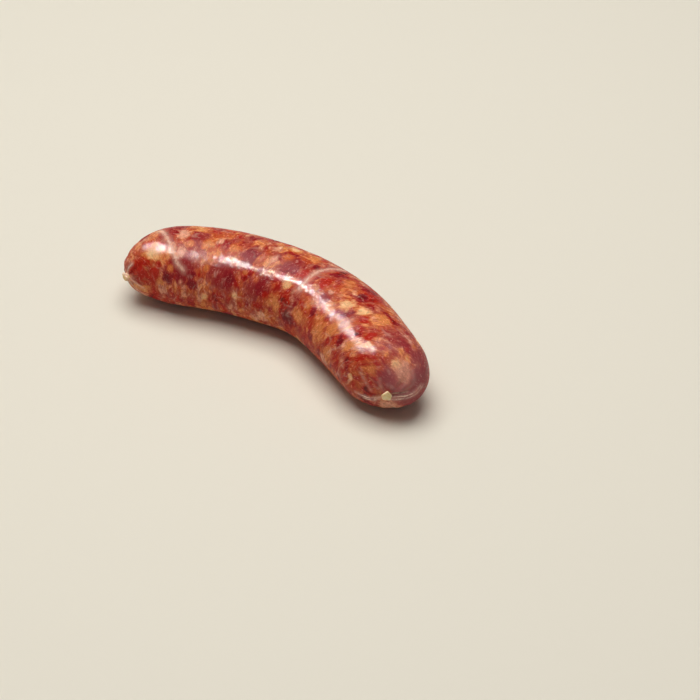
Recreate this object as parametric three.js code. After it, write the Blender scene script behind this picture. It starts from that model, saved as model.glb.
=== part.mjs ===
// One raw coarse-ground sausage link in natural casing, lying on its side.
// Units are millimetres, +Z is up. The link's chord runs along +X, its back bulges towards +Y,
// and the origin is at the bottom centre of its box, on the flat spot that it rests on.
// The link is turned as a straight body on a lathe, given its soft relief, and then bent.

import * as THREE from 'three';
import { mergeVertices } from 'three/addons/utils/BufferGeometryUtils.js';

// The bend, along the middle line from end to end: gentle in the middle, tighter at both ends.
const ARC_LENGTH = 145.5;
const MIDDLE_BEND_RADIUS = 98;
const LEFT_BEND_RADIUS = 31;
const RIGHT_BEND_RADIUS = 38.5;
const END_BEND_REACH = 0.17;

// Radius of the stuffed body at evenly spaced places, from the left end to the right.
const BODY_RADII = [15.9, 16.5, 16.8, 16.8, 16.6, 16.1];

// How far each rounded end takes to close.
const LEFT_DOME_LENGTH = 21.6;
const RIGHT_DOME_LENGTH = 15.3;

// Soft swells (+) and dents (-) of the coarse filling, at shares of the length from the left.
// side is the angle round the body: 0 on the back of the bend, 90 on top, 180 inside the bend.
const SWELL_PLACES = [0.06, 0.22, 0.38, 0.54, 0.7, 0.84, 0.95];
const SWELL_REACH = 0.1;
const SWELLS = [
  { side: 0, heights: [-1.1, 0.35, -0.45, 0.8, 0.5, -0.85, 2.2] },
  { side: 90, heights: [0, -0.35, 0.2, -0.3, 0.25, 0, 0.3] },
  { side: 180, heights: [-2.2, 0.7, 0.9, -1.2, 1.75, 2.0, -0.85] },
];

// The soft body settles under its own weight: its underside is flat up to this height.
const SETTLE = 0.9;

// Left end: the casing is twisted off into a small nub on a narrow neck.
const NUB_LENGTH = 2.0;
const NUB_RADIUS = 1.7;
const NECK_RADIUS = 1.2;

// Right end: the casing's cut tip stands out as a blunt little tag.
const TAG_LENGTH = 1.5;
const TAG_RADIUS = 2.2;
const TAG_CORNERS = 5;

// The tag sits in a pinched crease that runs across the end, above a fuller lower lip.
// The crease climbs towards the back of the bend by the tilt, in degrees.
const CREASE_TILT = 14;
const CREASE_DROP = 0.5;
const CREASE_DEPTH = 0.9;
const CREASE_HALF_WIDTH = 1.1;
const CREASE_REACH = 11;
const LIP_HEIGHT = 0.7;
const LIP_DROP = 4.5;

// Gathered casing: shallow pleats run out from each end and fade over the dome.
// twist turns them round the body, in degrees for each millimetre along.
const LEFT_PLEATS = { count: 12, depth: 0.45, reach: 7, twist: 4 };
const RIGHT_PLEATS = { count: 14, depth: 0.28, reach: 6, twist: -2.5 };

// How finely the body is divided.
const SIDES = 72;
const DOME_STEPS = 12;
const MIDDLE_STEPS = 34;
const BEND_STEPS = 600;

const CASING = { color: 0x9c4b37, roughness: 0.3, metalness: 0 };

const DEGREE = Math.PI / 180;
const UP = new THREE.Vector3(0, 0, 1);

// A bump of height 1 at distance 0 that dies away over its reach.
function fade(distance, reach) {
  return Math.exp(-((distance / reach) ** 2));
}

// The stuffed body's radius before the domes close it: a smooth curve through BODY_RADII.
const girth = new THREE.SplineCurve(
  BODY_RADII.map((radius, i) => new THREE.Vector2(i / (BODY_RADII.length - 1), radius)),
);

// How much an elliptical dome narrows the body: 0 at its tip, 1 from the dome's end on.
function domeShare(distance, length) {
  const inside = 1 - THREE.MathUtils.clamp(distance / length, 0, 1);
  return Math.sqrt(1 - inside ** 2);
}

// Radius of the straight body at a distance along it.
function bodyRadius(along) {
  const full = girth.getPoint(THREE.MathUtils.clamp(along / ARC_LENGTH, 0, 1)).y;
  const left = domeShare(along, LEFT_DOME_LENGTH);
  const right = domeShare(ARC_LENGTH - along, RIGHT_DOME_LENGTH);
  return full * left * right;
}

// Places along the body where its rings stand, closer together on the domes.
function ringPlaces() {
  const places = [];
  const dome = (step) => 1 - Math.cos((step / DOME_STEPS) * 90 * DEGREE);
  for (let i = 1; i <= DOME_STEPS; i++) places.push(LEFT_DOME_LENGTH * dome(i));
  const middle = ARC_LENGTH - LEFT_DOME_LENGTH - RIGHT_DOME_LENGTH;
  for (let i = 1; i <= MIDDLE_STEPS; i++) {
    places.push(LEFT_DOME_LENGTH + (middle * i) / MIDDLE_STEPS);
  }
  for (let i = DOME_STEPS - 1; i > 0; i--) places.push(ARC_LENGTH - RIGHT_DOME_LENGTH * dome(i));
  return places;
}

// The lathe profile from the nub's tip to the tag's tip: x is the radius, y the place along.
function linkProfile() {
  const nub = [
    new THREE.Vector2(0, -NUB_LENGTH),
    new THREE.Vector2(0.7 * NUB_RADIUS, -NUB_LENGTH),
    new THREE.Vector2(NUB_RADIUS, -0.75 * NUB_LENGTH),
    new THREE.Vector2(0.9 * NUB_RADIUS, -0.4 * NUB_LENGTH),
    new THREE.Vector2(NECK_RADIUS, -0.1 * NUB_LENGTH),
  ];
  const body = ringPlaces().map(
    (along) => new THREE.Vector2(Math.max(bodyRadius(along), NECK_RADIUS), along),
  );
  const tag = [
    new THREE.Vector2(NECK_RADIUS, ARC_LENGTH + 0.1 * TAG_LENGTH),
    new THREE.Vector2(TAG_RADIUS, ARC_LENGTH + 0.4 * TAG_LENGTH),
    new THREE.Vector2(TAG_RADIUS, ARC_LENGTH + 0.9 * TAG_LENGTH),
    new THREE.Vector2(0, ARC_LENGTH + TAG_LENGTH),
  ];
  return [...nub, ...body, ...tag];
}

// Unit normal of the turned body at a place: x is outwards, y is along the body.
function profileNormal(along) {
  const reach = 0.2;
  const rise = bodyRadius(along + reach) - bodyRadius(along - reach);
  return new THREE.Vector2(2 * reach, -rise).normalize();
}

// Swells and dents of the filling at a place and an angle round the body.
function swellHeight(along, angle) {
  let height = 0;
  for (const { side, heights } of SWELLS) {
    const facing = Math.max(0, Math.cos(angle - side * DEGREE)) ** 1.5;
    SWELL_PLACES.forEach((place, i) => {
      height += heights[i] * facing * fade(along / ARC_LENGTH - place, SWELL_REACH);
    });
  }
  return height;
}

// Pleats of the gathered casing at a distance from the tip and an angle round the body.
function pleatHeight(distance, angle, { count, depth, reach, twist }) {
  const turned = angle + twist * DEGREE * distance;
  const even = Math.cos(count * turned);
  const uneven = Math.cos((count - 3) * turned + 1.3);
  return 0.5 * depth * (even + uneven) * fade(distance, reach);
}

// The crease across the right end and the lip below it. across runs towards the back of the
// bend and up runs upwards, both from the middle of the end.
function pinchHeight(distance, across, up) {
  const tilt = CREASE_TILT * DEGREE;
  const above = up * Math.cos(tilt) - across * Math.sin(tilt) + CREASE_DROP;
  const crease = -CREASE_DEPTH * fade(above, CREASE_HALF_WIDTH) * fade(across, CREASE_REACH);
  const lip = LIP_HEIGHT * fade(above + LIP_DROP, LIP_DROP / 1.5);
  return (crease + lip) * fade(distance, CREASE_REACH);
}

// How far the skin stands out from the turned body, along its normal.
function reliefHeight(along, angle, radius) {
  const thickness = Math.min(1, radius / 10);
  const fromRight = ARC_LENGTH - along;
  const pleats =
    pleatHeight(along, angle, LEFT_PLEATS) + pleatHeight(fromRight, angle, RIGHT_PLEATS);
  const pinch = pinchHeight(fromRight, radius * Math.cos(angle), radius * Math.sin(angle));
  return (swellHeight(along, angle) + pleats) * thickness + pinch;
}

// The tag's outline is a blunt polygon with a corner at the top.
function tagRadius(radius, angle) {
  const slice = 360 / TAG_CORNERS;
  const past = THREE.MathUtils.euclideanModulo(angle / DEGREE - 90, slice) - slice / 2;
  return (radius * Math.cos((slice / 2) * DEGREE)) / Math.cos(past * DEGREE);
}

// The middle line of the bent link, turned so that its chord lies along +X.
class LinkCentre extends THREE.Curve {
  constructor() {
    super();
    this.points = [new THREE.Vector3()];
    this.headings = [0];
    const step = ARC_LENGTH / BEND_STEPS;
    for (let i = 0; i < BEND_STEPS; i++) {
      const heading = this.headings[i] - this.bendAt((i + 0.5) / BEND_STEPS) * step;
      const middle = (this.headings[i] + heading) / 2;
      const move = new THREE.Vector3(Math.cos(middle), Math.sin(middle), 0).multiplyScalar(step);
      this.points.push(this.points[i].clone().add(move));
      this.headings.push(heading);
    }
    const chord = this.points[BEND_STEPS];
    this.turn = -Math.atan2(chord.y, chord.x);
  }

  // How sharply the line bends at a share of its length, as one over the bend's radius.
  bendAt(share) {
    const middle = 1 / MIDDLE_BEND_RADIUS;
    const left = (1 / LEFT_BEND_RADIUS - middle) * fade(share, END_BEND_REACH);
    const right = (1 / RIGHT_BEND_RADIUS - middle) * fade(1 - share, END_BEND_REACH);
    return middle + left + right;
  }

  // The step that a share of the length falls in, and how far into it.
  locate(share) {
    const place = share * BEND_STEPS;
    const step = Math.min(Math.floor(place), BEND_STEPS - 1);
    return [step, place - step];
  }

  getHeading(share) {
    const [i, rest] = this.locate(share);
    return THREE.MathUtils.lerp(this.headings[i], this.headings[i + 1], rest) + this.turn;
  }

  getPoint(share, target = new THREE.Vector3()) {
    const [i, rest] = this.locate(share);
    return target.lerpVectors(this.points[i], this.points[i + 1], rest).applyAxisAngle(UP, this.turn);
  }
}

// One skin from a lathe: its seam and tips are merged and the slivers at the tips dropped.
function closedSkin(lathe) {
  lathe.deleteAttribute('normal');
  lathe.deleteAttribute('uv');
  const skin = mergeVertices(lathe, 1e-3);
  const corners = skin.index.array;
  const kept = [];
  for (let i = 0; i < corners.length; i += 3) {
    const [a, b, c] = corners.slice(i, i + 3);
    if (a !== b && b !== c && c !== a) kept.push(a, b, c);
  }
  skin.setIndex(kept);
  return skin;
}

// Carries each point of the straight body to its place on the bent, settled link.
function bendAndSettle(skin) {
  const centre = new LinkCentre();
  const floor = SETTLE - Math.max(...BODY_RADII);
  const position = skin.attributes.position;
  for (let i = 0; i < position.count; i++) {
    const angle = Math.atan2(position.getZ(i), -position.getX(i));
    let radius = Math.hypot(position.getX(i), position.getZ(i));
    let along = position.getY(i);
    if (along > ARC_LENGTH) {
      radius = tagRadius(radius, angle);
    } else if (along > 0) {
      const normal = profileNormal(along);
      const height = reliefHeight(along, angle, radius);
      radius += height * normal.x;
      along += height * normal.y;
    }
    const inside = THREE.MathUtils.clamp(along, 0, ARC_LENGTH);
    const heading = centre.getHeading(inside / ARC_LENGTH);
    const place = centre.getPoint(inside / ARC_LENGTH);
    const ahead = along - inside;
    const across = radius * Math.cos(angle);
    const x = place.x + ahead * Math.cos(heading) - across * Math.sin(heading);
    const y = place.y + ahead * Math.sin(heading) + across * Math.cos(heading);
    position.setXYZ(i, x, y, Math.max(radius * Math.sin(angle), floor));
  }
}

// Puts the origin at the bottom centre of the link's box.
function standOnOrigin(skin) {
  skin.computeBoundingBox();
  const { min, max } = skin.boundingBox;
  skin.translate(-(min.x + max.x) / 2, -(min.y + max.y) / 2, -min.z);
}

function sausageLink() {
  const skin = closedSkin(new THREE.LatheGeometry(linkProfile(), SIDES));
  bendAndSettle(skin);
  standOnOrigin(skin);
  skin.computeVertexNormals();
  const mesh = new THREE.Mesh(skin, new THREE.MeshStandardMaterial(CASING));
  mesh.name = 'sausage_link';
  return mesh;
}

const link = new THREE.Group();
link.add(sausageLink());

export default link;
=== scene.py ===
import math

import bpy
import numpy as np
from bpy.props import FloatProperty, FloatVectorProperty, IntProperty, PointerProperty
from mathutils import Matrix, Vector, noise
from mathutils.kdtree import KDTree


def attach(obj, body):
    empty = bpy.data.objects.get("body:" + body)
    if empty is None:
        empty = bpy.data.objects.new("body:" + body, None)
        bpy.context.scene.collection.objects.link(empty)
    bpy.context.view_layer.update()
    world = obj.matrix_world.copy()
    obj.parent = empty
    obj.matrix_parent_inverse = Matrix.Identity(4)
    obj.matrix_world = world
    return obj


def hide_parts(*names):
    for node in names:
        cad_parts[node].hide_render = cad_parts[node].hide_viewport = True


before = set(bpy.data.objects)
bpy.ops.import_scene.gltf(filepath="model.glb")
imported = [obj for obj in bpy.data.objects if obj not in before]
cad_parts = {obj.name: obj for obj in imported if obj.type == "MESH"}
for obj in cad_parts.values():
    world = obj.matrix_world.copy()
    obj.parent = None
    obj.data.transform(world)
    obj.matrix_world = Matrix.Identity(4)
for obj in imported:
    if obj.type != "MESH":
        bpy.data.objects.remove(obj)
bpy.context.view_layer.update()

bl_info = {
    "name": "Raw sausage link",
    "version": (1, 0, 0),
    "blender": (4, 5, 0),
    "location": "3D View > Sidebar > Sausage",
    "description": "A raw coarse-ground sausage link in natural casing, with its stage",
    "category": "Add Mesh",
}

MM = 0.001
NODE = "sausage_link"
BODY = "root"

# Soft swells (+) and dents (-) of the filling, in millimetres, at shares of the length.
# The side is the angle round the body: 0 on the back of the bend, 90 on top, 180 inside it.
SWELL_PLACES = (0.06, 0.22, 0.38, 0.54, 0.7, 0.84, 0.95)
SWELLS = {
    0: (-1.1, 0.35, -0.45, 0.8, 0.5, -0.85, 2.2),
    90: (0, -0.35, 0.2, -0.3, 0.25, 0, 0.3),
    180: (-2.2, 0.7, 0.9, -1.2, 1.75, 2.0, -0.85),
}

# The fine folds where the casing is drawn together: the twist is in degrees for each millimetre.
LEFT_PLEATS = {"count": 12, "depth": 0.45 * MM, "reach": 7 * MM, "twist": 4}
RIGHT_PLEATS = {"count": 14, "depth": 0.28 * MM, "reach": 6 * MM, "twist": -2.5}

# Large pieces that stand out through the casing. Each has its share of the length, its angle
# round the body in degrees and its size in millimetres.
PIECES = {
    "cream": (
        (0.07, 112, 5.5),
        (0.25, 182, 3),
        (0.36, 168, 2.5),
        (0.47, 66, 3.5),
        (0.52, 127, 3.5),
        (0.73, 104, 6),
        (0.78, 97, 4.5),
        (0.968, 74, 5),
        (0.94, 169, 2.5),
    ),
    "pink": (
        (0.989, 280, 8),
        (0.16, 120, 3.5),
        (0.17, 86, 5),
        (0.27, 97, 3),
        (0.66, 108, 3),
        (0.978, 58, 8),
    ),
    "orange": (
        (0.08, 99, 3),
        (0.12, 142, 3.5),
        (0.07, 168, 4),
        (0.19, 104, 3),
        (0.24, 103, 4),
        (0.25, 139, 3),
        (0.63, 138, 6),
        (0.7, 124, 6),
        (0.6, 160, 6),
        (0.71, 158, 8),
        (0.79, 170, 7),
        (0.32, 104, 5),
        (0.38, 134, 2.5),
        (0.42, 139, 3),
        (0.48, 90, 5),
        (0.5, 158, 6),
        (0.53, 64, 5),
        (0.67, 76, 5),
        (0.76, 142, 6),
        (0.83, 78, 5),
        (0.86, 137, 5),
        (0.97, 129, 6),
        (0.92, 48, 3),
    ),
    "red": (
        (0.02, 148, 7),
        (0.055, 150, 7),
        (0.46, 153, 3.5),
        (0.55, 104, 4),
        (0.62, 99, 6),
        (0.6, 142, 3),
        (0.88, 109, 4),
        (0.81, 101, 4),
        (0.99, 76, 4),
    ),
    "rose": (
        (0.987, 85, 7),
        (0.96, 20, 10),
        (0.985, 345, 8),
        (0.93, 40, 7),
        (0.66, 115, 5),
        (0.21, 92, 7),
        (0.37, 112, 6),
        (0.18, 140, 10),
        (0.3, 148, 11),
        (0.42, 150, 11),
        (0.5, 95, 8),
        (0.9, 75, 9),
    ),
    "purple": (
        (0.1, 158, 5),
        (0.2, 150, 4.5),
        (0.2, 165, 5),
        (0.33, 147, 5),
        (0.37, 103, 5),
        (0.44, 148, 5),
        (0.56, 83, 3),
        (0.65, 141, 4),
        (0.56, 174, 6),
        (0.73, 80, 3.5),
        (0.82, 144, 4),
        (0.96, 20, 6),
        (0.975, 215, 4.5),
        (0.975, 335, 5),
    ),
}
# How far each of them spreads for its size, and how sharply it takes over from its neighbours.
PIECE_SPREAD = 0.6
PIECE_SHARPNESS = 3
# How fat (1) or lean (0) and how warm (1) or cold (0) each of them is.
PIECE_TONES = {
    "cream": (0.9, 0.6),
    "pink": (0.78, 0.15),
    "orange": (0.66, 0.95),
    "red": (0.27, 0.85),
    "rose": (0.34, 0.05),
    "purple": (0.14, 0.1),
}

# The cut tag's outline, clockwise from its peak, in shares of its radius: across and up.
TAG_CORNERS = ((0.1, 1.25), (0.95, 0.3), (0.75, -0.9), (-0.7, -0.95), (-1, 0.15))
# The tag from its root to its hollow face, in shares: how wide it is and how far out.
TAG_PROFILE = (
    (0.45, -0.6),
    (0.5, 0.1),
    (0.85, 0.3),
    (1, 0.6),
    (0.97, 0.85),
    (0.85, 1),
    (0.6, 0.9),
    (0.3, 0.75),
)
# The nub from its root to its tip, in shares of its length. It rounds off beyond its shoulder.
NUB_ROOT = 0.35
NUB_SHOULDER = 0.55
NUB_END = 0.98

# Thin whitish membranes in the casing, as places they pass: share of the length and angle round.
MEMBRANES = (
    ((0.105, 66), (0.12, 93), (0.13, 110), (0.145, 133), (0.17, 145)),
    ((0.565, 127), (0.57, 105), (0.58, 84), (0.61, 51)),
)
# Thin folds on the ends, as places they pass: millimetres across and up from the tip.
LEFT_FOLDS = (
    ((-0.6, -1.5), (-1.4, -4), (-3, -7.5), (-5, -10)),
    ((0.4, -1.6), (0, -4.5), (-0.8, -8)),
    ((-1.6, -0.4), (-4, -1.6), (-7, -3.6)),
    ((1.5, 0.4), (4, 1.5), (6.5, 3.4)),
    ((0.2, 1.7), (0, 4), (-1, 6.5)),
)
END_VEINS = (
    ((-3, 6.5), (-2.8, 4), (-1.4, 1.2)),
    ((8.5, 8.5), (9.3, 4.7), (7.9, 3), (5.4, 1.8)),
    ((5.2, 3.4), (6.7, 4.9)),
    ((-10.6, 6.4), (-8.7, 3.5), (-6.7, 0.3)),
)
CREASE_FOLDS = (
    ((-12.5, -4.4), (-9, -4.6), (-6.2, -4.1), (-2.6, -2.2)),
    ((-9, -5.4), (-6, -4.9), (-3, -3)),
    ((1.8, -1.2), (4.7, -0.5), (8.1, 0.2), (11.5, 1.8)),
    ((1.8, -2), (5, -1.5), (8.5, -0.7), (12, 1.2)),
    ((2, 0.2), (4.5, 0.7), (7.5, 1.2)),
)

# How much shorter the pattern of the meat is along the link than across it.
SQUEEZE = (1.3, 1, 1)
# The stuffing smears the meat: its pattern leans more and more along the link, towards this side.
SMEAR_START = -0.2
SMEAR_GROWTH = 0.9
SMEAR_SIDE = math.radians(120)
# Where the casing is thick and cloudy: across and up from the right tip, and how far.
CLOUD_PLACE = (6 * MM, 5 * MM)
CLOUD_REACH = 10 * MM
# The sizes of the lumps under the casing, with the share of the height that each takes.
LUMPS = ((4.5 * MM, 0.7), (1.7 * MM, 0.3))

FLOOR_HALF = 3
FLOOR_COLOUR = (0.74, 0.69, 0.58, 1)
SKY_STRENGTH = 0.14
WARM_WHITE = (1, 0.95, 0.88)


def length(name, description, default, least=0.0):
    """A size in metres that the panel shows with its unit."""
    return FloatProperty(
        name=name, description=description, default=default, min=least, unit="LENGTH", precision=4
    )


def share(name, description, default):
    """A share from 0 to 1."""
    return FloatProperty(
        name=name, description=description, default=default, min=0, max=1, subtype="FACTOR"
    )


def angle_property(name, description, degrees):
    """An angle, given in degrees and kept in radians."""
    return FloatProperty(
        name=name, description=description, default=math.radians(degrees), subtype="ANGLE"
    )


def colour(name, description, default):
    """A colour that the panel shows as a swatch, given as linear red, green and blue."""
    return FloatVectorProperty(
        name=name, description=description, default=default, size=3, min=0, max=1, subtype="COLOR"
    )


class LinkForm(bpy.types.PropertyGroup):
    """The link's sizes."""

    arc_length: length("Arc length", "Length along the middle line, end to end", 145.5 * MM)
    middle_bend: length("Middle bend", "Bend radius in the middle", 98 * MM)
    left_bend: length("Left bend", "Bend radius at the left end", 31 * MM)
    right_bend: length("Right bend", "Bend radius at the right end", 38.5 * MM)
    bend_reach: share("Bend reach", "Share of the length that the tighter end bends take", 0.17)
    radii: FloatVectorProperty(
        name="Radii",
        description="Radius of the stuffed body at even places from left to right",
        default=[r * MM for r in (15.9, 16.5, 16.8, 16.8, 16.6, 16.1)],
        size=6,
        unit="LENGTH",
        precision=4,
    )
    left_dome: length("Left dome", "How far the left end takes to close", 21.6 * MM)
    right_dome: length("Right dome", "How far the right end takes to close", 15.3 * MM)
    swell_reach: share("Swell reach", "Share of the length that each swell takes", 0.1)
    lump_height: length("Lump height", "How far the chunks stand out under the casing", 0.16 * MM)
    settle: length("Settle", "How far the soft underside is flattened", 0.9 * MM)
    crease_tilt: angle_property("Crease tilt", "Slope of the right end's crease", 14)
    crease_drop: length("Crease drop", "How far the crease runs below the tip", 0.5 * MM)
    crease_depth: length("Crease depth", "Depth of the crease", 0.9 * MM)
    crease_half_width: length("Crease half width", "Half the width of the crease", 1.1 * MM)
    crease_reach: length("Crease reach", "How far the crease runs from the tip", 11 * MM)
    lip_height: length("Lip height", "Height of the soft lip below the crease", 0.7 * MM)
    lip_drop: length("Lip drop", "How far the lip lies below the crease", 4.5 * MM)
    strand_height: length("Strand height", "How far the skin rises at a strand", 0.1 * MM)
    strand_reach: length("Strand reach", "How far from a strand the skin rises", 0.5 * MM)
    crease_fold_half: length("Crease fold half width", "Half a crease fold's width", 0.24 * MM)
    crease_fold_height: length("Crease fold height", "Height of a crease fold", 0.2 * MM)
    twist_fold_half: length("Twist fold half width", "Half a twist fold's width", 0.22 * MM)
    twist_fold_height: length("Twist fold height", "Height of a twist fold", 0.16 * MM)
    nub_radius: length("Nub radius", "Radius of the twisted casing at the left tip", 1.7 * MM)
    nub_length: length("Nub length", "How far the twisted casing stands out", 2.0 * MM)
    neck_radius: length("Neck radius", "Radius where the nub and the tag leave the body", 1.2 * MM)
    tag_radius: length("Tag radius", "Size of the cut casing tag at the right tip", 2.2 * MM)
    tag_length: length("Tag length", "How far the tag stands out", 1.5 * MM)
    sides: IntProperty(name="Sides", description="Faces round the body", default=240, min=24)
    end_step: length("End step", "Distance between the skin's rings at the ends", 0.3 * MM, 0.1 * MM)
    ring_step: length("Ring step", "Distance between the rings in the middle", 0.52 * MM, 0.1 * MM)
    end_reach: length("End reach", "How far from each tip the end step is kept", 25 * MM)
    end_change: length("End change", "How far the step takes to change", 15 * MM, 1 * MM)


def srgb(red, green, blue):
    """A colour given as 0 to 255, as a picture shows it, turned into linear light."""
    shown = [part / 255 for part in (red, green, blue)]
    return tuple(c / 12.92 if c <= 0.04045 else ((c + 0.055) / 1.055) ** 2.4 for c in shown)


class LinkLooks(bpy.types.PropertyGroup):
    """The colours and grain of the meat, the fat and the casing."""

    lean_purple: colour("Purple lean", "Darkest cold lean meat", srgb(84, 8, 16))
    lean_rose: colour("Rose lean", "Cold lean meat", srgb(140, 29, 34))
    paste_dusty: colour("Dusty paste", "Cold ground meat with a little fat", srgb(168, 76, 60))
    fat_pink: colour("Pink fat", "Cold fat with some lean in it", srgb(214, 144, 116))
    fat_white: colour("White fat", "Clean cold fat", srgb(234, 196, 164))
    lean_dark: colour("Dark lean", "Darkest warm lean meat", srgb(98, 8, 4))
    lean_red: colour("Red lean", "Warm red lean meat", srgb(172, 32, 18))
    paste_orange: colour("Orange paste", "Ground meat stained by the spices", srgb(184, 78, 42))
    fat_orange: colour("Orange fat", "Fat stained by the spices", srgb(216, 132, 74))
    fat_yellow: colour("Yellow fat", "Pale yellow fat", srgb(234, 188, 128))
    casing: colour("Casing", "Gathered casing with no meat behind it", srgb(240, 200, 174))
    casing_grey: colour("Cloudy casing", "Thick casing with dark meat behind it", srgb(170, 110, 112))
    casing_cream: colour("Cream casing", "The cut edge of the casing", srgb(244, 222, 180))
    casing_yellow: colour("Yellow casing", "The thickest gathered casing", srgb(236, 204, 146))
    zone: length("Zone size", "Size of the fatter and leaner zones", 14 * MM, 1 * MM)
    chunk: length("Chunk size", "Size of the coarse pieces of meat and fat", 6.5 * MM, 0.5 * MM)
    blotch: length("Blotch size", "Size of the blotches in the pieces", 3.2 * MM, 0.2 * MM)
    fibre: length("Fibre size", "Length of the fibres of the meat", 3 * MM, 0.2 * MM)
    bit: length("Bit size", "Size of the small pieces between them", 3.0 * MM, 0.2 * MM)
    speck: length("Speck size", "Size of the finest specks", 1.0 * MM, 0.1 * MM)
    web: length("Web size", "Distance between the casing's web-like veins", 9 * MM, 1 * MM)
    ripple: length("Ripple size", "Size of the casing's soft ripples", 2.2 * MM, 0.1 * MM)
    wrinkle: length("Wrinkle size", "Size of the casing's fine wrinkles", 0.9 * MM, 0.1 * MM)


class Picture(bpy.types.PropertyGroup):
    """Where the camera stands."""

    azimuth: angle_property("Azimuth", "Angle round the link", 34.1)
    elevation: angle_property("Elevation", "Angle above the level", 42)
    distance: length("Distance", "From the camera to the link's middle", 1.2)
    width: length("Width", "Width of the picture at that distance", 0.28)
    aim_right: length("Aim right", "How far right of the link's middle the camera aims", 29.2 * MM)
    aim_down: length("Aim down", "How far below the link's middle the camera aims", 13.6 * MM)
    middle: FloatVectorProperty(
        name="Middle",
        description="The point of the link that the camera is placed from",
        default=(-0.6 * MM, -8.85 * MM, 15.9 * MM),
        size=3,
        subtype="TRANSLATION",
    )


def fade(distance, reach):
    """A bump of height 1 at distance 0 that dies away over its reach."""
    return np.exp(-((distance / reach) ** 2))


def curve(start, end, leave, arrive, t):
    """The place at t, from 0 to 1, on a smooth curve from start to end."""
    cubic = (2 * start - 2 * end + leave + arrive) * t**3
    square = (-3 * start + 3 * end - 2 * leave - arrive) * t**2
    return cubic + square + leave * t + start


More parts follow.
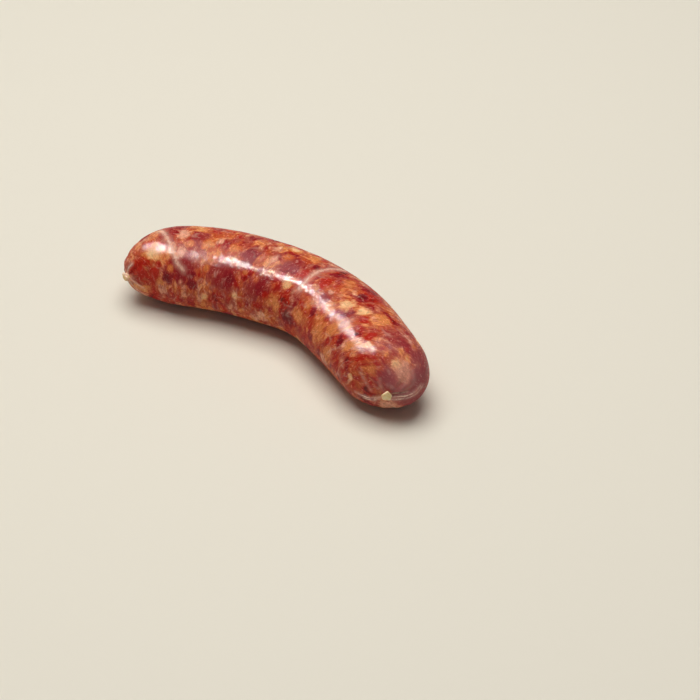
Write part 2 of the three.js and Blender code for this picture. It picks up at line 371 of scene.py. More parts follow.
class Link:
    """The link's form: it turns a place along, an angle round and a lift into a point."""

    STEPS = 600

    def __init__(self, form):
        self.form = form
        self.length = form.arc_length
        self.radii = np.array(form.radii)
        self.shares = np.arange(self.STEPS + 1) / self.STEPS
        middle_shares = (self.shares[1:] + self.shares[:-1]) / 2
        step = self.length / self.STEPS
        bend = self.bend_at(middle_shares)
        heading = np.concatenate([[0], -np.cumsum(bend * step)])
        middle = (heading[1:] + heading[:-1]) / 2
        x = np.concatenate([[0], np.cumsum(np.cos(middle) * step)])
        y = np.concatenate([[0], np.cumsum(np.sin(middle) * step)])
        turn = -math.atan2(y[-1], x[-1])
        self.heading = heading + turn
        self.x = math.cos(turn) * x - math.sin(turn) * y
        self.y = math.sin(turn) * x + math.cos(turn) * y
        self.floor = form.settle - self.radii.max()
        self.origin = np.zeros(3)
        self.origin = self.stand()

    def bend_at(self, shares):
        """How sharply the middle line bends: more at the ends than in the middle."""
        form = self.form
        middle = 1 / form.middle_bend
        left = (1 / form.left_bend - middle) * fade(shares, form.bend_reach)
        right = (1 / form.right_bend - middle) * fade(1 - shares, form.bend_reach)
        return middle + left + right

    def girth(self, shares):
        """Radius of the stuffed body before the domes close it: a smooth curve through radii."""
        last = len(self.radii) - 1
        place = np.clip(shares, 0, 1) * last
        i = np.minimum(np.floor(place).astype(int), last - 1)
        before = self.radii[np.maximum(i - 1, 0)]
        start = self.radii[i]
        end = self.radii[i + 1]
        after = self.radii[np.minimum(i + 2, last)]
        return curve(start, end, (end - before) / 2, (after - start) / 2, place - i)

    def radius(self, along):
        """Radius of the body, with the domes that close its ends."""
        left = 1 - np.clip(along / self.form.left_dome, 0, 1)
        right = 1 - np.clip((self.length - along) / self.form.right_dome, 0, 1)
        return self.girth(along / self.length) * np.sqrt(1 - left**2) * np.sqrt(1 - right**2)

    def swell(self, along, angle):
        """Height of the soft swells and dents of the filling."""
        height = 0
        for side, heights in SWELLS.items():
            facing = np.clip(np.cos(angle - math.radians(side)), 0, None) ** 1.5
            for place, peak in zip(SWELL_PLACES, heights):
                near = fade(along / self.length - place, self.form.swell_reach)
                height = height + peak * MM * facing * near
        return height

    def pleats(self, distance, angle, pleat):
        """Fine folds that run into a tip."""
        turned = angle + math.radians(pleat["twist"]) * distance / MM
        waves = np.cos(pleat["count"] * turned) + np.cos((pleat["count"] - 3) * turned + 1.3)
        return 0.5 * pleat["depth"] * waves * fade(distance, pleat["reach"])

    def pinch(self, distance, across, up):
        """The crease across the right tip, and the soft lip that bulges below it."""
        form = self.form
        tilt = form.crease_tilt
        above = up * math.cos(tilt) - across * math.sin(tilt) + form.crease_drop
        side = fade(across, form.crease_reach)
        crease = -form.crease_depth * fade(above, form.crease_half_width) * side
        lip = form.lip_height * fade(above + form.lip_drop, form.lip_drop / 1.5)
        return (crease + lip) * fade(distance, form.crease_reach)

    def relief(self, along, angle):
        """How far the skin stands above the plain stuffed body."""
        radius = self.radius(along)
        left = self.pleats(along, angle, LEFT_PLEATS)
        right = self.pleats(self.length - along, angle, RIGHT_PLEATS)
        folds = (self.swell(along, angle) + left + right) * np.minimum(1, radius / (10 * MM))
        return folds + self.pinch(self.length - along, radius * np.cos(angle), radius * np.sin(angle))

    def point(self, along, angle, lift=0.0):
        """Points on the skin, lifted off it along its normal."""
        radius = self.radius(along)
        reach = 0.2 * MM
        rise = self.radius(along + reach) - self.radius(along - reach)
        size = np.hypot(2 * reach, rise)
        height = self.relief(along, angle) + lift
        return self.carry(along - height * rise / size, radius + height * 2 * reach / size, angle)

    def straight(self, along, angle):
        """The same place on the link before it bent, from its left tip."""
        radius = self.radius(along)
        across, up = radius * np.cos(angle), radius * np.sin(angle)
        return np.stack(np.broadcast_arrays(along, across, up), -1)

    def on_end(self, across, up, left=False):
        """The place along and the angle of a point of a dome, seen from its end."""
        wide = np.hypot(across, up) / (self.radii[0] if left else self.radii[-1])
        dome = self.form.left_dome if left else self.form.right_dome
        inward = dome * (1 - np.sqrt(1 - np.clip(wide, 0, 0.99) ** 2))
        return inward if left else self.length - inward, np.arctan2(up, across)

    def carry(self, along, radius, angle):
        """Carries a place on the straight body to its place on the bent, settled one."""
        inside = np.clip(along, 0, self.length)
        shares = inside / self.length
        heading = np.interp(shares, self.shares, self.heading)
        ahead = along - inside
        across = radius * np.cos(angle)
        x = np.interp(shares, self.shares, self.x)
        x = x + ahead * np.cos(heading) - across * np.sin(heading)
        y = np.interp(shares, self.shares, self.y)
        y = y + ahead * np.sin(heading) + across * np.cos(heading)
        z = np.maximum(radius * np.sin(angle), self.floor)
        return np.stack(np.broadcast_arrays(x, y, z), -1) + self.origin

    def stand(self):
        """The move that puts the origin at the bottom centre of the link's box."""
        along = np.linspace(0, self.length, 600)[:, None]
        angle = np.linspace(0, 2 * math.pi, 360, endpoint=False)[None]
        skin = self.point(along, angle).reshape(-1, 3)
        low, high = skin.min(0), skin.max(0)
        return -np.array([(low[0] + high[0]) / 2, (low[1] + high[1]) / 2, low[2]])


def ring_places(link):
    """Places along the link for its rings: close together at the ends, wider in the middle."""
    form = link.form
    along = link.length * (1 - np.cos(np.linspace(0, math.pi, 4001))) / 2
    travel = np.concatenate([[0], np.cumsum(np.hypot(np.diff(along), np.diff(link.radius(along))))])
    nearest_end = np.minimum(travel, travel[-1] - travel)
    wide = np.clip((nearest_end - form.end_reach) / form.end_change, 0, 1)
    step = form.end_step + (form.ring_step - form.end_step) * wide
    rings = np.concatenate([[0], np.cumsum(np.diff(travel) / step[1:])])
    count = round(rings[-1])
    return np.interp(np.linspace(0, rings[-1], count + 1)[1:-1], rings, along)


def smooth_path(places, count):
    """Points spread along a smooth curve through the places."""
    places = np.array(places, float)
    padded = np.concatenate([[2 * places[0] - places[1]], places, [2 * places[-1] - places[-2]]])
    spread = np.linspace(0, len(places) - 1, count)
    i = np.minimum(spread.astype(int), len(places) - 2)
    t = (spread - i)[:, None]
    before, start, end, after = (padded[i + k] for k in range(4))
    return curve(start, end, (end - before) / 2, (after - start) / 2, t)


def membrane_path(link, places):
    """Points along a membrane, each a place along the link and an angle."""
    along, angle = smooth_path(places, 160).T
    return along * link.length, np.radians(angle)


def end_path(link, places, left=False):
    """Points along a fold or vein of an end, each a place along the link and an angle."""
    across, up = smooth_path(places, 80).T * MM
    return link.on_end(across, up, left)


def piece_fields(link, along, angle):
    """How fat and how warm the large pieces make each place, and how strongly they do so."""
    here = link.straight(along, angle)
    total, fat, warm, strongest = 1e-9, 0, 0, 0
    for kind, places in PIECES.items():
        for place, degrees, size in places:
            centre = link.straight(place * link.length, math.radians(degrees))
            away = np.linalg.norm(here - centre, axis=-1)
            weight = fade(away, PIECE_SPREAD * size * MM)
            sharp = weight**PIECE_SHARPNESS
            total = total + sharp
            fat = fat + sharp * PIECE_TONES[kind][0]
            warm = warm + sharp * PIECE_TONES[kind][1]
            strongest = np.maximum(strongest, weight)
    return np.stack([fat / total, warm / total, strongest], -1)


def strand_distance(link, along, angle):
    """How far each place is from the nearest strand: membranes are wide and veins lie deep."""
    membranes = [membrane_path(link, places) for places in MEMBRANES]
    veins = [end_path(link, places) for places in END_VEINS]
    folds = [end_path(link, places) for places in CREASE_FOLDS]
    folds += [end_path(link, places, left=True) for places in LEFT_FOLDS]
    here = link.straight(along, angle)
    spots = here.reshape(-1, 3).tolist()
    nearest = np.full(len(spots), np.inf)
    for paths, width, depth in ((membranes, 2, 0), (veins, 1.5, 0.45 * MM), (folds, 1, 0)):
        points = np.concatenate([link.straight(*path) for path in paths])
        tree = KDTree(len(points))
        for index, point in enumerate(points):
            tree.insert(point, index)
        tree.balance()
        away = np.array([tree.find(spot)[2] for spot in spots])
        nearest = np.minimum(nearest, away / width + depth)
    return nearest.reshape(here.shape[:-1])


def clouded(link, along, angle):
    """Where thick, cloudy casing hides the meat: the upper side of the right end."""
    centre = link.straight(*link.on_end(*CLOUD_PLACE))
    away = np.linalg.norm(link.straight(along, angle) - centre, axis=-1)
    return fade(away, CLOUD_REACH)


def smeared(link, along, angle):
    """The straight link with its pattern sheared, as the stuffing smears the meat."""
    here = link.straight(along, angle)
    lean = SMEAR_GROWTH * along / link.length + SMEAR_START
    here[..., 0] += lean * link.radius(along) * np.sin(angle - SMEAR_SIDE)
    return here


def lumps(places):
    """The soft unevenness of the chunks under the casing, from -1 to 1."""
    heights = []
    for place in places.reshape(-1, 3).tolist():
        heights.append(sum(part * noise.noise(Vector(place) / size) for size, part in LUMPS))
    return np.array(heights).reshape(places.shape[:-1])


def tube(rings, start, end):
    """A closed solid from rings of points, with a fan to a tip at each end."""
    count, sides = rings.shape[:2]
    points = np.concatenate([rings.reshape(-1, 3), [start, end]])
    faces = []
    for i in range(count - 1):
        for j in range(sides):
            k = (j + 1) % sides
            faces.append((i * sides + j, i * sides + k, (i + 1) * sides + k, (i + 1) * sides + j))
    tip, last = count * sides, (count - 1) * sides
    for j in range(sides):
        k = (j + 1) % sides
        faces.append((tip, k, j))
        faces.append((tip + 1, last + j, last + k))
    return points, faces


def make_piece(name, solids, material):
    """One object from closed solids. It rides on the body and stands for the CAD node."""
    points, faces = [], []
    for solid_points, solid_faces in solids:
        first = len(points)
        points.extend(solid_points.tolist())
        faces.extend(tuple(first + corner for corner in face) for face in solid_faces)
    mesh = bpy.data.meshes.new(name)
    mesh.from_pydata(points, [], faces)
    mesh.polygons.foreach_set("use_smooth", [True] * len(mesh.polygons))
    mesh.update()
    mesh.materials.append(material)
    piece = bpy.data.objects.new(name, mesh)
    bpy.context.scene.collection.objects.link(piece)
    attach(piece, BODY)
    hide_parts(NODE)
    return piece


def map_tube(piece, count, sides):
    """A map for baking: along the tube one way and round it the other, with no overlap."""
    layer = piece.data.uv_layers.new(name="OFBake")
    spots = np.zeros((len(piece.data.loops), 2))
    spot = 0
    for i in range(count - 1):
        for j in range(sides):
            for along, around in ((i, j), (i, j + 1), (i + 1, j + 1), (i + 1, j)):
                spots[spot] = ((along + 1) / (count + 1), around / sides)
                spot += 1
    for j in range(sides):
        start = ((-1, j + 0.5), (0, j + 1), (0, j))
        end = ((count, j + 0.5), (count - 1, j), (count - 1, j + 1))
        for along, around in start + end:
            spots[spot] = ((along + 1) / (count + 1), around / sides)
            spot += 1
    layer.data.foreach_set("uv", spots.ravel())


def keep_values(piece, name, values):
    """Keeps a number, or three, at each vertex for the material."""
    kind, part = ("FLOAT_VECTOR", "vector") if values.ndim == 2 else ("FLOAT", "value")
    field = piece.data.attributes.new(name, kind, "POINT")
    field.data.foreach_set(part, values.ravel())


class Nodes:
    """Adds shader nodes to a material and joins them up."""

    def __init__(self, name):
        self.material = bpy.data.materials.new(name)
        self.material.use_nodes = True
        self.tree = self.material.node_tree
        self.shader = self.tree.nodes["Principled BSDF"]

    def add(self, kind, inputs, **settings):
        node = self.tree.nodes.new(kind)
        for name, value in settings.items():
            setattr(node, name, value)
        self.join(node, inputs)
        return node

    def join(self, node, inputs):
        """Sets each input to a value, or links it where a socket is given."""
        for name, value in inputs.items():
            socket = node.inputs[name]
            if isinstance(value, bpy.types.NodeSocket):
                self.tree.links.new(value, socket)
            elif socket.type == "RGBA" and len(value) == 3:
                socket.default_value = (*value, 1)
            else:
                socket.default_value = value

    def place(self):
        """The point on the object, in metres."""
        return self.add("ShaderNodeTexCoord", {}).outputs["Object"]

    def kept(self, name):
        """A value kept at the mesh's vertices."""
        return self.add("ShaderNodeAttribute", {}, attribute_name=name).outputs

    def parts(self, vector):
        return self.add("ShaderNodeSeparateXYZ", {"Vector": vector}).outputs

    def noise(self, vector, size, detail=2.0, roughness=0.5):
        inputs = {"Vector": vector, "Scale": 1 / size, "Detail": detail, "Roughness": roughness}
        return self.add("ShaderNodeTexNoise", inputs).outputs

    def cells(self, vector, size, smoothness):
        """Soft-edged cells, each with a random colour of its own."""
        inputs = {"Vector": vector, "Scale": 1 / size, "Smoothness": smoothness}
        return self.add("ShaderNodeTexVoronoi", inputs, feature="SMOOTH_F1").outputs

    def cell_edges(self, vector, size):
        """How far each point is from the nearest edge between cells."""
        inputs = {"Vector": vector, "Scale": 1 / size}
        feature = "DISTANCE_TO_EDGE"
        return self.add("ShaderNodeTexVoronoi", inputs, feature=feature).outputs["Distance"]

    def maths(self, operation, *values):
        inputs = dict(enumerate(values))
        return self.add("ShaderNodeMath", inputs, operation=operation).outputs["Value"]

    def vector_maths(self, operation, *values):
        inputs = dict(enumerate(values))
        return self.add("ShaderNodeVectorMath", inputs, operation=operation).outputs["Vector"]

    def span(self, value, low, high, start=0.0, end=1.0):
        """Eases from start to end as the value goes from low to high."""
        inputs = {"Value": value, "From Min": low, "From Max": high, "To Min": start, "To Max": end}
        eased = {"interpolation_type": "SMOOTHSTEP"}
        return self.add("ShaderNodeMapRange", inputs, **eased).outputs["Result"]

    def blend(self, amount, under, over):
        """One number passed over to another. Sockets 2 and 3 of a Mix node take numbers."""
        inputs = {0: amount, 2: under, 3: over}
        return self.add("ShaderNodeMix", inputs, data_type="FLOAT").outputs[0]

    def mix(self, amount, under, over, how="MIX"):
        """One colour laid over another. Sockets 6 and 7 of a Mix node take colours."""
        inputs = {0: amount, 6: under, 7: over}
        settings = {"data_type": "RGBA", "blend_type": how}
        return self.add("ShaderNodeMix", inputs, **settings).outputs[2]

    def bump(self, height, distance, under=None):
        """A surface raised by a height, on top of the bumps under it."""
        inputs = {"Height": height, "Distance": distance}
        if under is not None:
            inputs["Normal"] = under
        return self.add("ShaderNodeBump", inputs).outputs["Normal"]

    def ramp(self, value, stops):
        """Colours along a value, given as (place, colour) from low to high."""
        node = self.add("ShaderNodeValToRGB", {"Fac": value})
        node.color_ramp.interpolation = "EASE"
        elements = node.color_ramp.elements
        while len(elements) < len(stops):
            elements.new(0.5)
        for element, (place, tone) in zip(elements, stops):
            element.position = place
            element.color = (*tone, 1)
        return node.outputs["Color"]

    def warp(self, vector, size, amount):
        """Moves the points of a pattern about by noise, so that its edges turn ragged."""
        push = self.vector_maths("SUBTRACT", self.noise(vector, size)["Color"], (0.5, 0.5, 0.5))
        push = self.add("ShaderNodeVectorMath", {0: push, "Scale": amount}, operation="SCALE")
        return self.vector_maths("ADD", vector, push.outputs["Vector"])


def meat_tone(nodes, looks, stuffing, squeezed, ragged, zone):
    """How fat (1) or lean (0) and how warm (1) or cold (0) the meat is."""
    chunk = nodes.parts(nodes.cells(ragged, looks.chunk, 0.5)["Color"])
    small = nodes.warp(squeezed, 2.5 * MM, 2.2 * MM)
    bit = nodes.parts(nodes.cells(small, looks.bit, 0.8)["Color"])
    blotch = nodes.parts(nodes.noise(ragged, looks.blotch, detail=3.0, roughness=0.55)["Color"])
    stretched = nodes.warp(nodes.vector_maths("MULTIPLY", stuffing, (4.5, 1, 1)), 4 * MM, 3 * MM)
    fibre = nodes.noise(stretched, looks.fibre, detail=3.0, roughness=0.6)["Fac"]

    tone = nodes.maths("MULTIPLY_ADD", chunk["X"], 0.42, -0.46)
    tone = nodes.maths("MULTIPLY_ADD", bit["X"], 0.22, tone)
    tone = nodes.maths("MULTIPLY_ADD", zone, 0.4, tone)
    tone = nodes.maths("MULTIPLY_ADD", blotch["X"], 0.85, tone)
    warmth = nodes.maths("MULTIPLY_ADD", chunk["Y"], 0.6, -0.3)
    warmth = nodes.maths("MULTIPLY_ADD", bit["Y"], 0.3, warmth)
    warmth = nodes.maths("MULTIPLY_ADD", blotch["Y"], 0.85, warmth)

    # The large pieces take over where they lie, with ragged edges and fewer fibres.
    pieces = nodes.parts(nodes.kept("pieces")["Vector"])
    edge = nodes.maths("MULTIPLY_ADD", blotch["Z"], 1.6, -0.8)
    placed = nodes.span(nodes.maths("ADD", pieces["Z"], edge), 0.1, 0.8, 0, 0.88)
    tone = nodes.blend(placed, tone, pieces["X"])
    warmth = nodes.blend(placed, warmth, pieces["Y"])
    streaky = nodes.maths("MULTIPLY_ADD", placed, -0.2, 0.28)
    tone = nodes.maths("MULTIPLY_ADD", nodes.maths("SUBTRACT", fibre, 0.5), streaky, tone)
    return tone, warmth


def meat_colour(nodes, looks, tone, warmth, specks):
    """The colour of the meat and fat: lean to fat along two ramps, a cold and a warm one."""
    cold = (
        (0.05, looks.lean_purple),
        (0.3, looks.lean_rose),
        (0.5, looks.paste_dusty),
        (0.72, looks.fat_pink),
        (0.95, looks.fat_white),
    )
    warm = (
        (0.05, looks.lean_dark),
        (0.3, looks.lean_red),
        (0.5, looks.paste_orange),
        (0.72, looks.fat_orange),
        (0.95, looks.fat_yellow),
    )
    warm_share = nodes.span(warmth, 0.2, 0.75)
    colour = nodes.mix(warm_share, nodes.ramp(tone, cold), nodes.ramp(tone, warm))
    shade = nodes.span(specks, 0.25, 0.75, 0.76, 1.26)
    grey = {"Red": shade, "Green": shade, "Blue": shade}
    shade = nodes.add("ShaderNodeCombineColor", grey).outputs["Color"]
    return nodes.mix(1.0, colour, shade, "MULTIPLY")


def casing_veil(nodes, looks, stuffing, ragged, specks):
    """How whitish the casing is: at its web-like veins, strands, hazy patches and flecks."""
    edges = nodes.cell_edges(nodes.warp(stuffing, 6 * MM, 6 * MM), looks.web)
    web = nodes.span(edges, 0.0, 0.1, 0.28, 0)
    patchy = nodes.span(nodes.noise(stuffing, 6 * MM, detail=3.0)["Fac"], 0.48, 0.7)
    web = nodes.maths("MULTIPLY", web, patchy)
    frayed = nodes.maths("MULTIPLY_ADD", specks, 1.6 * MM, -0.8 * MM)
    near = nodes.maths("ADD", nodes.kept("strand")["Fac"], frayed)
    core = nodes.span(near, 0.0, 0.5 * MM, 0.35, 0)
    line = nodes.maths("ADD", core, nodes.span(near, 0.0, 1.5 * MM, 0.3, 0))
    haze = nodes.noise(ragged, 4 * MM, detail=5.0, roughness=0.7)["Fac"]
    haze = nodes.span(haze, 0.56, 0.8, 0, 0.4)
    flecks = nodes.span(specks, 0.58, 0.72, 0, 0.34)
    veil = nodes.maths("MAXIMUM", web, nodes.maths("MAXIMUM", line, haze))
    return nodes.maths("MAXIMUM", veil, flecks)


def raw_meat(looks):
    """Coarse meat and fat seen through moist casing."""
    nodes = Nodes("raw_meat")
    stuffing = nodes.kept("stuffing")["Vector"]
    squeezed = nodes.vector_maths("MULTIPLY", stuffing, SQUEEZE)
    ragged = nodes.warp(nodes.warp(squeezed, 5 * MM, 5 * MM), 2 * MM, 1.2 * MM)
    zone = nodes.noise(stuffing, looks.zone)["Fac"]
    specks = nodes.noise(ragged, looks.speck, detail=3.0, roughness=0.6)["Fac"]
    tone, warmth = meat_tone(nodes, looks, stuffing, squeezed, ragged, zone)
    veil = casing_veil(nodes, looks, stuffing, ragged, specks)
    colour = nodes.mix(veil, meat_colour(nodes, looks, tone, warmth, specks), looks.casing)
    see_through = nodes.span(tone, 0.4, 0.8, 0.58, 0.2)
    cloud = nodes.maths("MULTIPLY", nodes.kept("clouded")["Fac"], see_through)

    # Soft ripples lie under a moist gloss with finer wrinkles, which vary from zone to zone.
    ripple = nodes.noise(nodes.warp(stuffing, 3 * MM, 1.5 * MM), looks.ripple)["Fac"]
    soft = nodes.bump(nodes.maths("MULTIPLY_ADD", veil, 0.8, ripple), 0.16 * MM)
    fine = nodes.warp(stuffing, 1 * MM, 1 * MM)
    wrinkle = nodes.noise(fine, looks.wrinkle, roughness=0.6)["Fac"]
    wrinkle = nodes.maths("MULTIPLY", wrinkle, nodes.span(zone, 0.4, 0.6, 0.5, 1.35))
    nodes.join(
        nodes.shader,
        {
            "Base Color": nodes.mix(cloud, colour, looks.casing_grey),
            "Roughness": nodes.span(specks, 0.3, 0.7, 0.4, 0.55),
            "Specular IOR Level": 0.0,
            "Normal": soft,
            "Coat Normal": nodes.bump(wrinkle, 0.14 * MM, under=soft),
            "Coat Weight": 0.35,
            "Coat IOR": 1.42,
            "Coat Roughness": 0.07,
            "Subsurface Weight": 0.2,
            "Subsurface Radius": (1.0, 0.35, 0.2),
            "Subsurface Scale": 1 * MM,
        },
    )
    return nodes.material


def gathered_casing(name, thin, thick):
    """Casing drawn together with no meat behind it."""
    nodes = Nodes(name)
    place = nodes.place()
    cloudy = nodes.noise(place, 1.2 * MM, detail=3.0)["Fac"]
    fine = nodes.noise(nodes.warp(place, 1 * MM, 1 * MM), 0.4 * MM, detail=3.0)["Fac"]
    nodes.join(
        nodes.shader,
        {
            "Base Color": nodes.ramp(cloudy, ((0.35, thin), (0.65, thick))),
            "Roughness": nodes.span(fine, 0.3, 0.7, 0.4, 0.6),
            "Specular IOR Level": 0.2,
            "Normal": nodes.bump(fine, 0.12 * MM),
            "Coat Weight": 0.12,
            "Coat Roughness": 0.2,
            "Subsurface Weight": 0.3,
            "Subsurface Radius": (1.0, 0.5, 0.3),
            "Subsurface Scale": 1 * MM,
        },
    )
    return nodes.material


class SAUSAGE_OT_camera(bpy.types.Operator):
    """Makes the camera at the picture's viewing angle"""

    bl_idname = "sausage.camera"
    bl_label = "Camera"

    def execute(self, context):
        picture = context.scene.sausage_picture
        a, e = picture.azimuth, picture.elevation
        back = Vector((math.sin(a) * math.cos(e), -math.cos(a) * math.cos(e), math.sin(e)))
        right = Vector((math.cos(a), math.sin(a), 0))
        up = back.cross(right)
        middle = Vector(picture.middle)
        aim = middle + right * picture.aim_right - up * picture.aim_down
        data = bpy.data.cameras.new("camera")
        data.sensor_width = 36
        data.lens = data.sensor_width * picture.distance / picture.width
        camera = bpy.data.objects.new("camera", data)
        camera.location = middle + back * picture.distance
        ahead = (aim - camera.location).normalized()
        side = ahead.cross(up).normalized()
        camera.rotation_euler = Matrix((side, side.cross(ahead), -ahead)).transposed().to_euler()
        context.scene.collection.objects.link(camera)
        context.scene.camera = camera
        return {"FINISHED"}


class SAUSAGE_OT_skin(bpy.types.Operator):
    """Makes the stuffed body"""

    bl_idname = "sausage.skin"
    bl_label = "Body"

    def execute(self, context):
        form = context.scene.sausage_form
        link = Link(form)
        along = ring_places(link)[:, None]
        angle = np.linspace(0, -2 * math.pi, form.sides, endpoint=False)[None] - math.pi / 2
        distance = strand_distance(link, along, angle)
        uneven = form.lump_height * lumps(smeared(link, along, angle))
        raised = form.strand_height * fade(distance, form.strand_reach)
        rings = link.point(along, angle, uneven + raised)
        start = link.point(np.array(0.0), 0.0)
        end = link.point(np.array(link.length), 0.0)
        material = raw_meat(context.scene.sausage_looks)
        body = make_piece("link_body", [tube(rings, start, end)], material)
        map_tube(body, len(along), form.sides)
        tips = np.array([0, link.length])
        keep_values(body, "strand", np.append(distance, [1, 1]))
        keep_values(body, "clouded", np.append(clouded(link, along, angle), [0, 0]))
        for name, field in (("stuffing", smeared), ("pieces", piece_fields)):
            values = field(link, along, angle).reshape(-1, 3)
            keep_values(body, name, np.concatenate([values, field(link, tips, 0.0)]))
        return {"FINISHED"}


def fold_solid(link, path, half_width, height):
    """A thin fold that lies along a path on the skin and tapers to nothing at both ends."""
    along, angle = path
    base = link.point(along, angle)
    outward = link.point(along, angle, MM) - base
    outward /= np.linalg.norm(outward, axis=-1, keepdims=True)
    ahead = np.gradient(base, axis=0)
    ahead /= np.linalg.norm(ahead, axis=-1, keepdims=True)
    side = np.cross(ahead, outward)
    taper = np.sin(np.linspace(0, math.pi, len(base))[1:-1, None, None]) ** 0.6
    turn = np.linspace(0, 2 * math.pi, 12, endpoint=False)[None, :, None]
    rise = outward[1:-1, None] * height * np.sin(turn) * taper
    spread = side[1:-1, None] * half_width * np.cos(turn) * taper
    return tube(base[1:-1, None] + rise + spread, base[0], base[-1])


class SAUSAGE_OT_folds(bpy.types.Operator):
    """Makes the thin folds at both tips"""

    bl_idname = "sausage.folds"
    bl_label = "Folds"

    def execute(self, context):
        form = context.scene.sausage_form
        looks = context.scene.sausage_looks
        link = Link(form)
        material = gathered_casing("thin_casing", looks.casing_grey, looks.casing)
        crease = []
        for places in CREASE_FOLDS:
            path = end_path(link, places)
            crease.append(fold_solid(link, path, form.crease_fold_half, form.crease_fold_height))
        make_piece("crease_folds", crease, material)
        twist = []
        for places in LEFT_FOLDS:
            path = end_path(link, places, left=True)
            twist.append(fold_solid(link, path, form.twist_fold_half, form.twist_fold_height))
        make_piece("twist_folds", twist, material)
        return {"FINISHED"}


class SAUSAGE_OT_nub(bpy.types.Operator):
    """Makes the twisted casing at the left tip"""

    bl_idname = "sausage.nub"
    bl_label = "Nub"

    def execute(self, context):
        form = context.scene.sausage_form
        link = Link(form)
        angle = np.linspace(0, -2 * math.pi, 72, endpoint=False)[None]
        out = np.linspace(-NUB_ROOT, NUB_END, 26)[:, None]
        beyond = np.clip(out - NUB_SHOULDER, 0, None) / (1 - NUB_SHOULDER)
        rounding = np.sqrt(np.clip(1 - beyond**2, 0.02, 1))
        widening = (form.nub_radius - form.neck_radius) * np.clip(out / 0.5, -1, 1) ** 2
        ridges = 1 + 0.12 * np.cos(6 * angle + 5 * out) + 0.06 * np.cos(11 * angle - 7 * out + 1)
        radius = (form.neck_radius + widening) * rounding * ridges
        rings = link.carry(-out * form.nub_length, radius, angle)
        inner = link.carry(np.array(NUB_ROOT * form.nub_length), np.array(0.0), 0.0)
        outer = link.carry(np.array(-form.nub_length), np.array(0.0), 0.0)
        looks = context.scene.sausage_looks
        material = gathered_casing("twisted_casing", looks.casing, looks.casing_yellow)
        make_piece("casing_nub", [tube(rings[:, ::-1], inner, outer)], material)
        return {"FINISHED"}


class SAUSAGE_OT_tag(bpy.types.Operator):
    """Makes the cut casing tag at the right tip"""

    bl_idname = "sausage.tag"
    bl_label = "Tag"

    def execute(self, context):
        form = context.scene.sausage_form
        link = Link(form)
        corners = np.array(TAG_CORNERS) * form.tag_radius
        sides = [np.linspace(a, b, 14, endpoint=False) for a, b in zip(np.roll(corners, 1, 0), corners)]
        edge = np.concatenate(sides)
        rounded = sum(np.roll(edge, shift, axis=0) for shift in range(-3, 4)) / 7
        wide, far = np.array(TAG_PROFILE).T[:, :, None]
        across, up = wide * rounded[:, 0], wide * rounded[:, 1]
        out = link.length + far * form.tag_length + 0 * across
        rings = link.carry(out, np.hypot(across, up), np.arctan2(up, across))
        inner = link.carry(out[0, 0], np.array(0.0), 0.0)
        outer = link.carry(out[-1, 0], np.array(0.0), 0.0)
        looks = context.scene.sausage_looks
        material = gathered_casing("cut_casing", looks.casing_yellow, looks.casing_cream)
        make_piece("casing_tag", [tube(rings, inner, outer)], material)
        return {"FINISHED"}


def lamp(name, centre, size, power, along=(1, 0, 0)):
    """A soft box that faces the link, with its long side laid along a direction."""
    light = bpy.data.lights.new(name, "AREA")
    light.shape = "RECTANGLE"
    light.size, light.size_y = size
    light.energy = power
    piece = bpy.data.objects.new(name, light)
    back = Vector(centre).normalized()
    long = Vector(along)
    long = (long - back * long.dot(back)).normalized()
    piece.location = centre
    piece.rotation_euler = Matrix((long, back.cross(long), back)).transposed().to_euler()
    bpy.context.scene.collection.objects.link(piece)
    return piece


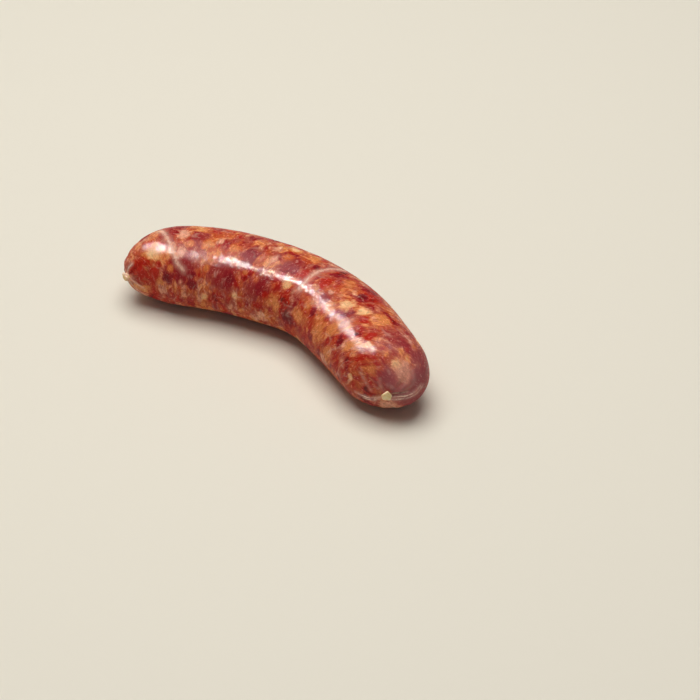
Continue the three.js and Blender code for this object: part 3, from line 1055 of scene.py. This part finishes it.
class SAUSAGE_OT_stage(bpy.types.Operator):
    """Makes the floor and the lights"""

    bl_idname = "sausage.stage"
    bl_label = "Stage"

    def execute(self, context):
        scene = context.scene
        scene.view_settings.view_transform = "Standard"
        mesh = bpy.data.meshes.new("floor")
        half = FLOOR_HALF
        corners = [(-half, -half, 0), (half, -half, 0), (half, half, 0), (-half, half, 0)]
        mesh.from_pydata(corners, [], [(0, 1, 2, 3)])
        floor = bpy.data.objects.new("floor", mesh)
        scene.collection.objects.link(floor)
        nodes = Nodes("floor")
        nodes.join(nodes.shader, {"Base Color": FLOOR_COLOUR, "Specular IOR Level": 0.0})
        mesh.materials.append(nodes.material)
        scene.world = bpy.data.worlds.new("world")
        scene.world.use_nodes = True
        sky = scene.world.node_tree.nodes["Background"]
        sky.inputs["Color"].default_value = (1, 1, 1, 1)
        sky.inputs["Strength"].default_value = SKY_STRENGTH
        lamp("overhead", centre=(-0.15, 0.05, 1.25), size=(1.0, 1.0), power=18)
        # The strip makes the long white streak of gloss and leaves the colours alone.
        strip = lamp("strip", (-0.47, -0.23, 0.74), (0.7, 0.085), 44, along=(-0.7, 0.35, -0.24))
        strip.visible_diffuse = False
        strip.data.color = WARM_WHITE
        return {"FINISHED"}


class SAUSAGE_PT_panel(bpy.types.Panel):
    """The sausage link's sizes and the steps that make it"""

    bl_label = "Sausage link"
    bl_idname = "SAUSAGE_PT_panel"
    bl_space_type = "VIEW_3D"
    bl_region_type = "UI"
    bl_category = "Sausage"

    def draw(self, context):
        scene = context.scene
        for group in (scene.sausage_picture, scene.sausage_form, scene.sausage_looks):
            box = self.layout.box()
            for name in group.bl_rna.properties.keys():
                if name not in {"rna_type", "name"}:
                    box.prop(group, name)
        for step in STEPS:
            self.layout.operator(step.bl_idname)


STEPS = (
    SAUSAGE_OT_camera,
    SAUSAGE_OT_skin,
    SAUSAGE_OT_folds,
    SAUSAGE_OT_nub,
    SAUSAGE_OT_tag,
    SAUSAGE_OT_stage,
)
CLASSES = (LinkForm, LinkLooks, Picture, *STEPS, SAUSAGE_PT_panel)


def register():
    for cls in CLASSES:
        bpy.utils.register_class(cls)
    bpy.types.Scene.sausage_form = PointerProperty(type=LinkForm)
    bpy.types.Scene.sausage_looks = PointerProperty(type=LinkLooks)
    bpy.types.Scene.sausage_picture = PointerProperty(type=Picture)


def unregister():
    del bpy.types.Scene.sausage_picture
    del bpy.types.Scene.sausage_looks
    del bpy.types.Scene.sausage_form
    for cls in reversed(CLASSES):
        bpy.utils.unregister_class(cls)


def main():
    register()
    bpy.ops.sausage.camera()
    bpy.ops.sausage.skin()
    bpy.ops.sausage.folds()
    bpy.ops.sausage.nub()
    bpy.ops.sausage.tag()
    bpy.ops.sausage.stage()


if __name__ == "__main__":
    main()
